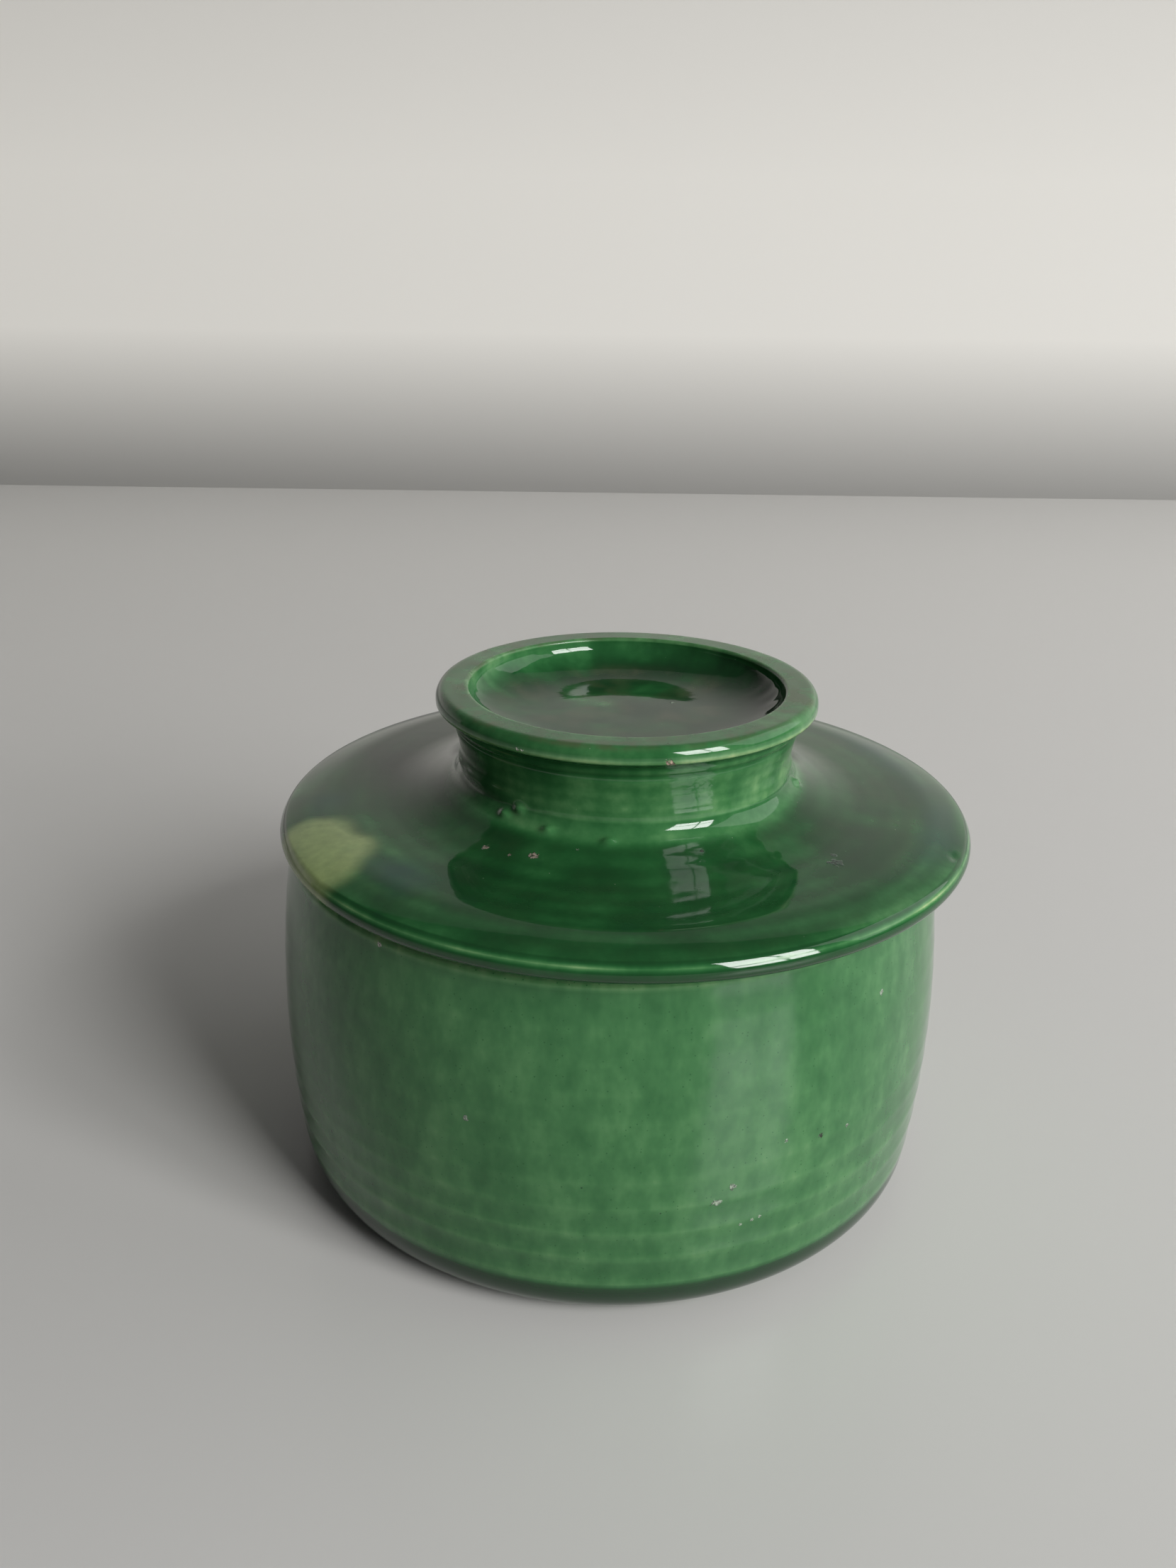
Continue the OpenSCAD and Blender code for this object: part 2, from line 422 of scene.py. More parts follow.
def make_piece(name, turned, rows, cuts):
    """A closed mesh through some rows of a turned surface.

    Rows that begin at the grid's first row run from pole to pole, and others run in a loop.
    cuts maps a place in rows to the way that its flat cut faces: 1 is up and -1 is down.
    """
    points, marks, shade, index = gathered(turned, rows)
    faces, corner_normals = faces_between(index, shade, rows[0] == 0, cuts)
    mesh = bpy.data.meshes.new(name)
    mesh.from_pydata(np.concatenate(points).tolist(), [], faces)
    mesh.shade_smooth()
    for key, values in marks.items():
        attribute = mesh.attributes.new(key, "FLOAT", "POINT")
        attribute.data.foreach_set("value", np.concatenate(values).astype(np.float32))
    mesh.normals_split_custom_set(np.concatenate(corner_normals).tolist())
    return link(name, mesh)


# ---------------------------------------------------------------------------
# The crock
# ---------------------------------------------------------------------------

THROWING_PITCH = 5.5 * MM
FIRST_CREST_Z = 10.1 * MM
FOOT_BAND_Z = 9.2 * MM
FOOT_RING_R = 45 * MM

# How deep each error of throwing goes, in mm.
FLUTE_DEPTH = 0.15
OVAL_DEPTH = 0.09
THREE_SIDED_DEPTH = 0.04
DENT_DEPTH = 0.030
DIMPLE_DEPTH = 0.006

# Thickness of the glaze, where 1 is a plain coat: the least and the most, and how much more lies on
# the crock's outside and in the dark band round its foot: partly glaze that ran down, partly painted
# shade.
LEAST_GLAZE = 0.25
MOST_GLAZE = 4.0
OUTSIDE_GLAZE = 0.27
FOOT_BAND_POOL_AND_SHADE_GLAZE = 2.2

# How much thinner it is on the crests of the rings, on the rim and on the foot's lowest edge, and how
# much thicker in the flutes and under the rim.
CREST_LOSS = 0.27
RIM_LOSS = 0.45
FOOT_EDGE_LOSS = 2.7
FLUTE_GAIN = 0.08
UNDER_RIM_GAIN = 0.12


def crock_surface():
    """The crock, with its throwing rings, and a dark band round its foot: partly pooled glaze, partly
    painted shade.

    Each ring is a narrow crest between two shallow flutes. Higher up they fade and lean.
    """
    crock = Turned(crock_outline(), 0.0)
    z, along = crock.z, crock.along
    outside = crock.on("corner", "rim")
    free = outside * smooth_step(z, 3 * MM, 10 * MM)
    free = free * (1 - smooth_step(z, CROCK_TOP - 5 * MM, CROCK_TOP - 1 * MM))
    lean = 2.2 * MM * smooth_step(z, 9 * MM, 34 * MM) * np.sin(away_from(-80))
    turns = (z - FIRST_CREST_Z - lean) / THROWING_PITCH + 0.10 * patches(along, 14 * MM, 9, 3)
    swing = 0.5 + 0.5 * np.cos(2 * math.pi * turns)
    strength = 1.0 - 0.75 * smooth_step(z, 14 * MM, 38 * MM)
    strength = strength * (0.75 + 0.25 * patches(along, 6 * MM, 14, 8))
    flutes = FLUTE_DEPTH * (1 - swing ** 3) * strength
    out_of_round = OVAL_DEPTH * (1 + np.cos(2 * ANGLE + 1)) + THREE_SIDED_DEPTH * (1 + np.cos(3 * ANGLE))
    dents = DENT_DEPTH * (1 + patches(along, 11 * MM, 30, 4))
    dents = dents + DIMPLE_DEPTH * (1 + patches(along, 3 * MM, 120, 9))
    crock.press((flutes + out_of_round + dents) * MM * free)
    glaze = crock.marks["glaze"]
    glaze += outside * (OUTSIDE_GLAZE + 0.09 * patches(along, 16 * MM, 34, 5))
    glaze -= free * CREST_LOSS * strength * swing ** 6
    glaze += free * FLUTE_GAIN * strength * (1 - swing) ** 6
    glaze += outside * UNDER_RIM_GAIN * smooth_step(z, CROCK_TOP - 10 * MM, CROCK_TOP - 2 * MM)
    # Painted shade: the thick, dark glaze of the foot band stands partly for shade where the corner
    # turns under.
    pooled_and_shaded = 1 - smooth_step(z, FOOT_BAND_Z - 1.4 * MM, FOOT_BAND_Z + 0.3 * MM)
    glaze += outside * pooled_and_shaded * (FOOT_BAND_POOL_AND_SHADE_GLAZE + 0.35 * patches(along, 5 * MM, 160, 7))
    glaze -= outside * FOOT_EDGE_LOSS * (1 - smooth_step(z, 0.5 * MM, 1.3 * MM))
    glaze -= RIM_LOSS * bump_at(crock.since("rim"), 3.5 * MM, 2.5 * MM)
    np.clip(glaze, LEAST_GLAZE, MOST_GLAZE, out=glaze)
    under = crock.on("base", "corner") * (crock.r > FOOT_RING_R)
    crock.marks["bare"] += under * smooth_step(crock.r, FOOT_RING_R, FOOT_RING_R + 1 * MM)
    return crock


def make_crock():
    """The crock's one piece, in place of both of its CAD nodes."""
    turned = crock_surface()
    crock = make_piece("glazed_crock", turned, list(range(len(turned.grid))), {})
    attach(crock, "crock")
    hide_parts("crock_wall", "crock_floor")
    return crock


# ---------------------------------------------------------------------------
# The lid
# ---------------------------------------------------------------------------

# Where the bright line of the brim's edge lies on its rounded profile, in radians up from below.
RIDGE_ANGLE = 2.12

# Where the ring's upper corner faces the light, in mm along its profile from the ring's lower corner.
RING_SHOULDER = 3.1

# Ripples of the brim's top, bands in its glaze, and the throwing rings of the neck.
RIPPLE_PITCH = 2.9 * MM
BAND_PITCH = 4.4 * MM
NECK_RING_PITCH = 2.3 * MM

# The two grooves round the neck, under the ring.
UPPER_GROOVE_Z = RING_BOTTOM - 1.3 * MM
LOWER_GROOVE_Z = RING_BOTTOM - 3.2 * MM

# How deep the marks of throwing and of handling go on the lid, in mm.
BRIM_SWELL_DEPTH = 0.024
BRIM_DIMPLE_DEPTH = 0.004
TORN_DEPTH = 0.06
RIDGE_FLAT_DEPTH = 0.20
NICK_DEPTH = 0.3
NECK_RING_DEPTH = 0.020
UPPER_GROOVE_DEPTH = 0.30
LOWER_GROOVE_DEPTH = 0.34
SHOULDER_FLAT_DEPTH = 0.13
CREASE_DEPTH = 0.55
COLLAR_HEIGHT = 0.50
LUMP_HEIGHT = 0.75
BOWL_RUN_DEPTH = 0.030
BOWL_RIPPLE_DEPTH = 0.018
BOWL_HOLLOW_DEPTH = 0.12

# Thickness of the glaze on each part of the lid.
BELL_GLAZE = 1.15
BRIM_GLAZE = 2.25
BRIM_EDGE_GLAZE = 2.5
NECK_GLAZE = 1.15
RING_GLAZE = 1.35
LIP_GLAZE = 1.05
BOWL_GLAZE = 1.45

# Lumps of glaze at the neck's foot: direction in degrees, distance from the axis and height in mm.
NECK_LUMPS = (
    (-132, 32.6, 79.2),
    (-127, 32.0, 80.2),
    (-115, 33.2, 78.6),
    (-96, 33.6, 78.4),
    (-12, 33.0, 79.0),
)

# The yellow flash lies in this direction from the axis, in degrees.
FLASH_DIRECTION = -150

# Soft spots that make it up: mm across from its middle, mm in from the brim's edge, and size in mm.
YELLOW_SPOTS = (
    (-9.5, 7.0, 6.0),
    (0.5, 9.5, 5.6),
    (-2.0, 3.0, 6.6),
    (7.5, 2.0, 6.0),
    (-10.0, 2.0, 4.5),
)

# Blue tinges on the brim: mm from the axis, direction in degrees, and half widths in mm towards the
# axis and round it.
BLUE_SPOTS = (
    (56, -171, 4.0, 6.0),
    (54, -134, 4.5, 8.0),
    (59, -18, 3.5, 15.0),
    (58, 22, 4.0, 18.0),
)


def neck_rings(lid):
    """The wave of the neck's throwing rings: 1 on each crest, -1 between two."""
    turns = 2 * math.pi * (lid.z - JOIN_Z) / NECK_RING_PITCH
    return np.cos(turns + 1.6 * patches(lid.along, 4 * MM, 11, 22))


def shape_brim(lid):
    """Ripples of the brim's top, a torn place in its glaze, the ridge of its edge and a nick."""
    top = lid.on("top", "neck")
    free = top * smooth_step(BRIM_R - lid.r, 2 * MM, 6 * MM)
    free = free * (1 - smooth_step(lid.z, JOIN_Z - 1.6 * MM, JOIN_Z))
    near_neck = 1 - smooth_step(lid.r, 38 * MM, 47 * MM)
    rings = np.cos(2 * math.pi * lid.r / RIPPLE_PITCH + 1.3 * patches(lid.along, 7 * MM, 13, 11))
    ripple_depth = 0.0015 + 0.006 * near_neck * (0.7 + 0.3 * patches(lid.along, 5 * MM, 9, 10))
    depth = free * (1 - rings) * ripple_depth
    depth = depth + free * BRIM_SWELL_DEPTH * (1 + patches(lid.along, 12 * MM, 13, 12))
    depth = depth + free * BRIM_DIMPLE_DEPTH * (1 + patches(lid.along, 3.5 * MM, 44, 23))
    torn = TORN_DEPTH * patches(lid.along, 1.4 * MM, 170, 24)
    depth = depth + torn * lid.spot(40.5 * MM, BRIM_Z + 7 * MM, -55, 3 * MM, 6 * MM)
    ridge = bump_at(lid.since("edge"), RIDGE_ANGLE * BRIM_EDGE_R, 1.0 * MM)
    depth = depth + (lid.on("edge", "top") + top) * RIDGE_FLAT_DEPTH * ridge
    nick = lid.spot(BRIM_R - 1.9 * MM, BRIM_Z + 4.2 * MM, -24.7, 0.7 * MM, 1.2 * MM)
    return (depth + NICK_DEPTH * nick) * MM


def shape_neck(lid):
    """Throwing rings, the grooves under the ring, and the join, left as a crease at the sides."""
    on_neck = lid.on("neck", "ring")
    left = bump_at(away_from(-176), 0, 0.62)
    right = bump_at(away_from(-4), 0, 0.5)
    sides = np.clip(left + 0.7 * right, 0, 1)
    wander = 1 + 0.35 * patches(lid.along, 3 * MM, 60, 21)
    crease = sides * bump_at(lid.z, JOIN_Z - 0.5 * MM, 0.5 * MM) * lid.on("foot", "ring")
    collar = sides * bump_at(lid.z, JOIN_Z + 1.2 * MM, 1.0 * MM) * lid.on("foot", "ring")
    rings = NECK_RING_DEPTH * (1 - neck_rings(lid)) * smooth_step(lid.z, JOIN_Z, JOIN_Z + 1.5 * MM)
    grooves = UPPER_GROOVE_DEPTH * bump_at(lid.z, UPPER_GROOVE_Z, 0.35 * MM)
    grooves = grooves + LOWER_GROOVE_DEPTH * bump_at(lid.z, LOWER_GROOVE_Z, 0.45 * MM)
    lumps = 0.0
    for heading, radius, height in NECK_LUMPS:
        lumps = lumps + lid.spot(radius * MM, height * MM, heading, 0.8 * MM, 1.1 * MM)
    shoulder = bump_at(lid.since("ring"), RING_SHOULDER * MM, 0.8 * MM)
    flat = lid.on("ring", "recess_lip") * SHOULDER_FLAT_DEPTH * shoulder
    join = wander * (CREASE_DEPTH * crease - COLLAR_HEIGHT * collar)
    return (on_neck * (rings + grooves) + flat + join - LUMP_HEIGHT * lumps) * MM


def shape_recess(lid):
    """Soft ripples in the bowl of the ring, upright runs on its wall, and a hollow near its top."""
    down = (RING_TOP - lid.z) / MM
    on_the_wall = smooth_step(down, 0.7, 1.6) * (1 - smooth_step(down, 3.5, 5.5))
    runs = BOWL_RUN_DEPTH * (1 + patches(lid.along, 30 * MM, 84, 37)) * on_the_wall
    ripples = BOWL_RIPPLE_DEPTH * (1 + patches(lid.along, 6 * MM, 11, 13))
    ripples = ripples * smooth_step(lid.r, 4 * MM, 12 * MM)
    hollow = BOWL_HOLLOW_DEPTH * bump_at(lid.z, RING_TOP - 1.9 * MM, 0.9 * MM)
    return lid.beyond("recess") * (ripples + runs + hollow) * MM


def glaze_brim(lid):
    """Thick, dark glaze on the brim, with a thin bright line where it drew back from the ridge."""
    top, edge = lid.on("top", "neck"), lid.on("edge", "top")
    cloud = 0.50 * patches(lid.along, 11 * MM, 26, 14) + 0.35 * patches(lid.along, 4.5 * MM, 56, 15)
    near_neck = 1 - smooth_step(lid.r, 32.2 * MM, 36 * MM)
    cloud = cloud * (1 - near_neck)
    bands = 0.16 * np.cos(2 * math.pi * lid.r / BAND_PITCH + 1.5 * patches(lid.along, 8 * MM, 9, 26))
    rim_zone = smooth_step(lid.r, 57 * MM, 63 * MM)
    thin_rim = rim_zone * np.clip(patches(lid.along, 5 * MM, 46, 16) + 0.15, 0, 1)
    fade = 0.25 * smooth_step(lid.r, 52 * MM, 60 * MM)
    thickness = top * (BRIM_GLAZE + cloud + bands - near_neck - 0.55 * thin_rim - fade)
    ridge = RIDGE_ANGLE * BRIM_EDGE_R
    since_edge = lid.since("edge")
    line = bump_at(since_edge, ridge, 0.50 * MM) + 0.6 * bump_at(since_edge, ridge, 1.1 * MM)
    low_line = bump_at(since_edge, 0.5 * BRIM_EDGE_R, 0.3 * MM)
    thickness = thickness + edge * (BRIM_EDGE_GLAZE + 0.5 * cloud - 0.7 * low_line)
    return thickness - (1.02 + 0.30 * patches(lid.along, 4 * MM, 70, 25)) * line * (edge + top)


def lid_streaks(lid):
    """Streaks in the thickness of the glaze on the neck, the ring and the bowl's wall."""
    return 0.10 * patches(lid.along, 9 * MM, 130, 17) + 0.18 * patches(lid.along, 5 * MM, 40, 18)


def glaze_neck_and_ring(lid, streaks):
    """Thinner glaze on the neck and the ring, drawn off the ring's lower edge, and thinner on the lit
    side as painted light.
    """
    neck, ring = lid.on("neck", "ring"), lid.on("ring", "recess_lip")
    lip = lid.on("recess_lip", "recess")
    # Painted light: thinner, lighter glaze on the side that faces the lights.
    painted_lit_side = np.cos(away_from(-15))
    up = smooth_step(lid.z, JOIN_Z, RING_BOTTOM)
    bands = 0.07 * neck_rings(lid) * smooth_step(lid.z, JOIN_Z, JOIN_Z + 1.5 * MM)
    grooves = bump_at(lid.z, UPPER_GROOVE_Z, 0.5 * MM) + bump_at(lid.z, LOWER_GROOVE_Z, 0.5 * MM)
    thickness = neck * (NECK_GLAZE + 0.25 * up - 0.2 * painted_lit_side + streaks + 0.30 * grooves - bands)
    low_edge = bump_at(lid.since("ring"), 1.2 * MM, 0.5 * MM)
    thickness = thickness + ring * (RING_GLAZE - 0.1 * painted_lit_side + streaks - 0.75 * low_edge)
    return thickness + lip * (LIP_GLAZE + streaks)


def glaze_bowl(lid, streaks):
    """Glaze in the bowl of the ring: it ran down the wall and pooled round its foot, with painted shade
    on the right.
    """
    down = (RING_TOP - lid.z) / MM
    on_the_wall = 1 - smooth_step(down, 3.8, 5.8)
    runs = 0.9 * patches(lid.along, 30 * MM, 40, 19) + 0.5 * patches(lid.along, 6 * MM, 90, 27)
    runs = runs * on_the_wall
    upper = 0.25 * smooth_step(down + 0.7 * runs, 1.0, 3.0)
    lower = 0.8 * smooth_step(down + runs, 2.8, 5.6)
    # Painted shade: thicker, darker glaze on the bowl's right side, which the rim shades from the
    # lights.
    painted_shade_right = 0.45 * np.clip(np.cos(away_from(20)), -0.5, 1)
    blots = 0.7 * np.clip(patches(lid.along, 5 * MM, 13, 20), 0, 1) * bump_at(down, 5.5, 1.2)
    cloud = 0.50 * dapples(lid.grid, 15 * MM, 28) + 0.28 * dapples(lid.grid, 6 * MM, 29)
    thickness = BOWL_GLAZE + upper + lower + painted_shade_right + blots
    thickness = thickness + 1.6 * streaks * on_the_wall + cloud * (1 - on_the_wall)
    return lid.beyond("recess") * thickness


def mark_flash(lid):
    """A yellow flash where the copper burnt off the brim's left edge, and blue tinges round it."""
    top = lid.on("edge", "neck")
    across = away_from(FLASH_DIRECTION) * lid.r / MM
    inward = (BRIM_R - lid.r) / MM
    flash = 0.0
    for centre, depth, size in YELLOW_SPOTS:
        flash = flash + np.exp(-((across - centre) ** 2 + (inward - depth) ** 2) / size ** 2)
    flash = flash + 0.16 * patches(lid.along, 4 * MM, 70, 31)
    lid.marks["yellow"] += top * smooth_step(flash, 0.25, 1.15)
    blue = 0.0
    for radius, angle, long, wide in BLUE_SPOTS:
        blue = blue + lid.spot(radius * MM, BRIM_Z + 5.5 * MM, angle, long * MM, wide * MM)
    lid.marks["blue"] += np.clip(top * blue, 0, 1)


def mark_wear_dust_and_sheen(lid):
    """The worn top of the ring, where the lid stands, and smears of dust on the brim and in the bowl,
    with painted sheen where they grow towards the brim's back.
    """
    flat = lid.on("ring", "recess") * smooth_step(lid.z, RING_TOP - 0.8 * MM, RING_TOP - 0.1 * MM)
    lid.marks["worn"] += flat * np.clip(0.60 + 0.55 * patches(lid.along, 2.5 * MM, 40, 33), 0, 1)
    smears = patches(lid.along, 3.5 * MM, 22, 41) + 0.6 * patches(lid.along, 1.8 * MM, 34, 42)
    # Painted sheen: the grey-brown film grows towards the back of the brim, away from the viewer.
    painted_sheen_to_back = 0.55 - 0.45 * np.cos(away_from(-90))
    lid.marks["dust_and_sheen"] += lid.on("top", "foot") * painted_sheen_to_back * np.clip(0.45 + 0.55 * smears, 0, 1)
    smears = 0.5 * dapples(lid.grid, 12 * MM, 43) + 0.3 * dapples(lid.grid, 5 * MM, 44)
    deep = lid.beyond("recess") * smooth_step(RING_TOP - lid.z, 4 * MM, 6 * MM)
    lid.marks["dust_and_sheen"] += deep * np.clip(0.35 + smears, 0, 1)


def lid_surface():
    """The whole lid as one turned surface, from which its three pieces are cut."""
    lid = Turned(lid_outline(), LID_X)
    lid.press(shape_brim(lid) + shape_neck(lid) + shape_recess(lid))
    streaks = lid_streaks(lid)
    glaze = (1 - lid.beyond("edge")) * BELL_GLAZE + glaze_brim(lid)
    glaze = glaze + glaze_neck_and_ring(lid, streaks) + glaze_bowl(lid, streaks)
    lid.marks["glaze"] = np.clip(glaze, LEAST_GLAZE, MOST_GLAZE)
    mark_flash(lid)
    mark_wear_dust_and_sheen(lid)
    return lid


def make_lid():
    """The lid's three pieces, each in place of its CAD node."""
    lid = lid_surface()
    shoulder, cup = lid.starts["shoulder"], lid.starts["cup"]
    underside, neck, last = lid.starts["underside"], lid.starts["neck"], len(lid.grid) - 1
    bell_rows = list(range(cup, underside + 1))
    brim_rows = list(range(underside, neck + 1)) + list(range(shoulder, cup + 1))
    ring_rows = list(range(0, shoulder + 1)) + list(range(neck, last + 1))
    bell = make_piece("glazed_bell", lid, bell_rows, {len(bell_rows) - 1: 1.0})
    brim = make_piece("glazed_brim", lid, brim_rows, {neck - underside: 1.0, len(brim_rows) - 1: -1.0})
    ring = make_piece("glazed_grip_ring", lid, ring_rows, {shoulder: -1.0})
    for piece, node, slot in (
        (bell, "lid_bell", "bell_glaze"),
        (brim, "lid_brim", "lid_glaze"),
        (ring, "lid_grip_ring", "lid_glaze"),
    ):
        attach(piece, "lid")
        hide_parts(node)
    return bell, brim, ring


# ---------------------------------------------------------------------------
# Glaze
# ---------------------------------------------------------------------------

CLAY = (0.80, 0.72, 0.42)
ABSORPTION = (2.50, 1.35, 1.85)
GLAZE_BODY = (0.010, 0.034, 0.014)
RAMP_STOPS = 16
YELLOW_FLASH = (0.29, 0.38, 0.15, 1.0)
WORN_GREEN = (0.072, 0.105, 0.048, 1.0)
# Grey-brown of the dust film on the lid, which is partly painted sheen.
DUST_AND_SHEEN = (0.085, 0.088, 0.048, 1.0)
BLUE_TINGE = (0.012, 0.062, 0.055, 1.0)
BARE_CLAY = (0.50, 0.36, 0.22, 1.0)
SPECK = (0.60, 0.60, 0.50, 1.0)

# How bright the darker half of each mottled colour is, as a share of the other half. On the flecks it is
# painted shade.
FLECK_SHADE = 0.25
CLAY_SHADE = 0.80
FLASH_SHADE = 0.86

# Roughness of the crock's and the lid's glaze, and what thin glaze, wear and bare clay add to it.
GLAZE_IOR = 1.47
CROCK_ROUGHNESS = 0.055
LID_ROUGHNESS = 0.045
THIN_ROUGHNESS = 0.14
WORN_ROUGHNESS = 0.22
BARE_ROUGHNESS = 0.70

# How far each kind of mottle changes the glaze's thickness.
CROCK_STREAKS = 0.70
CROCK_MOTTLE = 0.25
CROCK_CLOUD = 0.60
CROCK_SPECKS = 0.45
CROCK_PINHOLES = 0.90
LID_CLOUD = 1.10
LID_MOTTLE = 0.45

# How much of each colour shows where it lies on the lid's glaze.
BLUE_SHARE = 0.55
WORN_SHARE = 0.85
DUST_AND_SHEEN_SHARE = 0.42
SPECK_SHARE = 0.35


def glaze_colour(thickness):
    """Pale clay seen through green glaze by Beer and Lambert's law, and the glaze's faint haze."""
    seen = [clay * math.exp(-rate * thickness) for clay, rate in zip(CLAY, ABSORPTION)]
    haze = 1 - math.exp(-thickness)
    return [part + haze * body for part, body in zip(seen, GLAZE_BODY)] + [1.0]


class Nodes:
    """A short way to add shader nodes and link them."""

    def __init__(self, name):
        self.material = bpy.data.materials.new(name)
        self.material.use_nodes = True
        self.tree = self.material.node_tree
        self.shader = self.tree.nodes["Principled BSDF"]

    def add(self, kind, settings=(), inputs=()):
        """A node with these settings, and with values or links for its inputs by name or number."""
        node = self.tree.nodes.new(kind)
        for key, value in dict(settings).items():
            setattr(node, key, value)
        for key, value in dict(inputs).items():
            self.put(value, node.inputs[key])
        return node

    def put(self, value, socket):
        if isinstance(value, bpy.types.NodeSocket):
            self.tree.links.new(value, socket)
        else:
            socket.default_value = value

    def math(self, operation, *values):
        return self.add("ShaderNodeMath", {"operation": operation}, enumerate(values)).outputs[0]

    def noise(self, where, scale, detail):
        """Noise round 0, about -0.3 to 0.3."""
        inputs = {"Vector": where, "Scale": scale, "Detail": detail}
        return self.math("SUBTRACT", self.add("ShaderNodeTexNoise", inputs=inputs).outputs["Fac"], 0.5)

    def stretched(self, where, scale):
        return self.add("ShaderNodeMapping", inputs={"Vector": where, "Scale": scale}).outputs[0]

    def rise(self, value, start, end):
        """0 before start and 1 after end, or the other way round where start is the larger."""
        inputs = {"Value": value, "From Min": start, "From Max": end}
        return self.add("ShaderNodeMapRange", inputs=inputs).outputs["Result"]

    def mark(self, name):
        return self.add("ShaderNodeAttribute", {"attribute_name": name}).outputs["Fac"]

    def mix(self, share, low, high):
        inputs = {"Factor": share, 6: low, 7: high}
        return self.add("ShaderNodeMix", {"data_type": "RGBA"}, inputs).outputs[2]

    def dots(self, where, spacing, size, share):
        """Small round dots: one in each cell of that spacing, in some of the cells."""
        cells = self.add("ShaderNodeTexVoronoi", inputs={"Vector": where, "Scale": 1 / spacing})
        near = self.rise(cells.outputs["Distance"], size / spacing, 0.6 * size / spacing)
        chosen = self.add("ShaderNodeSeparateColor", inputs={0: cells.outputs["Color"]}).outputs[0]
        return self.math("MULTIPLY", near, self.rise(chosen, share, 0.9 * share))


def darker(colour, share):
    return [share * part for part in colour[:3]] + [1.0]


def glaze_ramp(nodes, thickness):
    ramp = nodes.add("ShaderNodeValToRGB", inputs={"Fac": nodes.math("DIVIDE", thickness, MOST_GLAZE)})
    stops = ramp.color_ramp.elements
    stops[0].color = glaze_colour(0)
    stops[1].color = glaze_colour(MOST_GLAZE)
    for k in range(1, RAMP_STOPS):
        share = k / RAMP_STOPS
        stops.new(share).color = glaze_colour(share * MOST_GLAZE)
    return ramp.outputs["Color"]


def fleck(nodes, where, place, size):
    """1 inside a small ragged fleck at a place, and 0 outside it."""
    ragged = nodes.math("MULTIPLY", nodes.noise(where, 1.4 / size, 3), 2.6 * size)
    gap = nodes.add("ShaderNodeVectorMath", {"operation": "DISTANCE"}, {0: where, 1: place})
    return nodes.rise(nodes.math("ADD", gap.outputs["Value"], ragged), size, 0.75 * size)


def add_flecks(nodes, where, colour, height, flecks):
    """Crumbs, chips and blisters: lays each fleck's colour on with painted shade, and raises or sinks
    the surface there.
    """
    # Painted shade: a fine noise darkens parts of each fleck, for the shadows of crumbs.
    painted_crumb_shade = nodes.rise(nodes.noise(where, 2600, 2), -0.12, 0.10)
    for place, size, tint, rise in flecks:
        inside = fleck(nodes, where, place, size)
        mottled = nodes.mix(painted_crumb_shade, darker(tint, FLECK_SHADE), tint)
        colour = nodes.mix(inside, colour, mottled)
        height = nodes.math("MULTIPLY_ADD", inside, rise, height)
    return colour, height


def on_wall(height, direction):
    """A place on the crock's wall, from its height in mm and its direction in degrees."""
    z = height * MM
    radius = CROCK_R - BELLY_CURVE + math.sqrt(BELLY_CURVE ** 2 - (z - BELLY_Z) ** 2) - 0.2 * MM
    angle = math.radians(direction)
    return (radius * math.cos(angle), radius * math.sin(angle), z)


def on_lid(distance, height, direction):
    """A place on the lid, from its distance to the axis and its height in mm, and its direction."""
    angle = math.radians(direction)
    return (LID_X + distance * MM * math.cos(angle), distance * MM * math.sin(angle), height * MM)


PALE = (0.34, 0.42, 0.32, 1.0)
WHITE = (0.80, 0.80, 0.70, 1.0)
DARK = (0.015, 0.020, 0.010, 1.0)
CRUMB = (0.34, 0.29, 0.23, 1.0)
CHIP = (0.55, 0.40, 0.32, 1.0)
BLISTER = (0.26, 0.32, 0.25, 1.0)
SCUFF = (0.045, 0.080, 0.055, 1.0)
SCUFF_EDGE = (0.050, 0.090, 0.060, 1.0)

# Flecks: place, half width, colour, and how far it stands out or in, in mm.
CROCK_FLECKS = (
    (on_wall(40.5, -111.7), 0.55 * MM, BLISTER, 0.10),
    (on_wall(33.6, -56.7), 0.50 * MM, DARK, -0.10),
    (on_wall(55.4, -43.9), 0.50 * MM, PALE, 0.05),
    (on_wall(33.1, -51.1), 0.40 * MM, PALE, 0.05),
    (on_wall(28.8, -71.8), 0.60 * MM, PALE, 0.10),
    (on_wall(26.2, -74.2), 0.80 * MM, PALE, 0.10),
    (on_wall(20.3, -70.0), 0.30 * MM, PALE, 0.05),
    (on_wall(20.7, -68.2), 0.35 * MM, PALE, 0.05),
    (on_wall(21.0, -66.8), 0.30 * MM, PALE, 0.05),
    (on_wall(35.3, -63.3), 0.35 * MM, PALE, 0.05),
    (on_wall(65.8, -128.2), 0.45 * MM, WHITE, 0.10),
)

LID_FLECKS = (
    (on_lid(39.4, 75.6, -128.0), 0.60 * MM, CRUMB, 0.25),
    (on_lid(39.5, 75.6, -120.6), 0.42 * MM, CRUMB, 0.20),
    (on_lid(38.3, 75.9, -114.7), 0.80 * MM, CRUMB, 0.35),
    (on_lid(48.0, 74.0, -43.0), 1.30 * MM, SCUFF, 0.03),
    (on_lid(46.4, 74.2, -40.5), 0.60 * MM, SCUFF_EDGE, 0.03),
    (on_lid(35.5, 77.0, -104.0), 0.35 * MM, PALE, 0.10),
    (on_lid(36.0, 76.6, -70.0), 0.35 * MM, DARK, 0.10),
    (on_lid(35.1, 92.6, -79.5), 0.85 * MM, CHIP, -0.10),
    (on_lid(35.3, 93.0, -122.0), 0.35 * MM, WHITE, 0.05),
    (on_lid(35.3, 93.0, -120.5), 0.30 * MM, WHITE, 0.05),
    (on_lid(12.0, 88.8, 40.0), 0.45 * MM, PALE, 0.08),
)


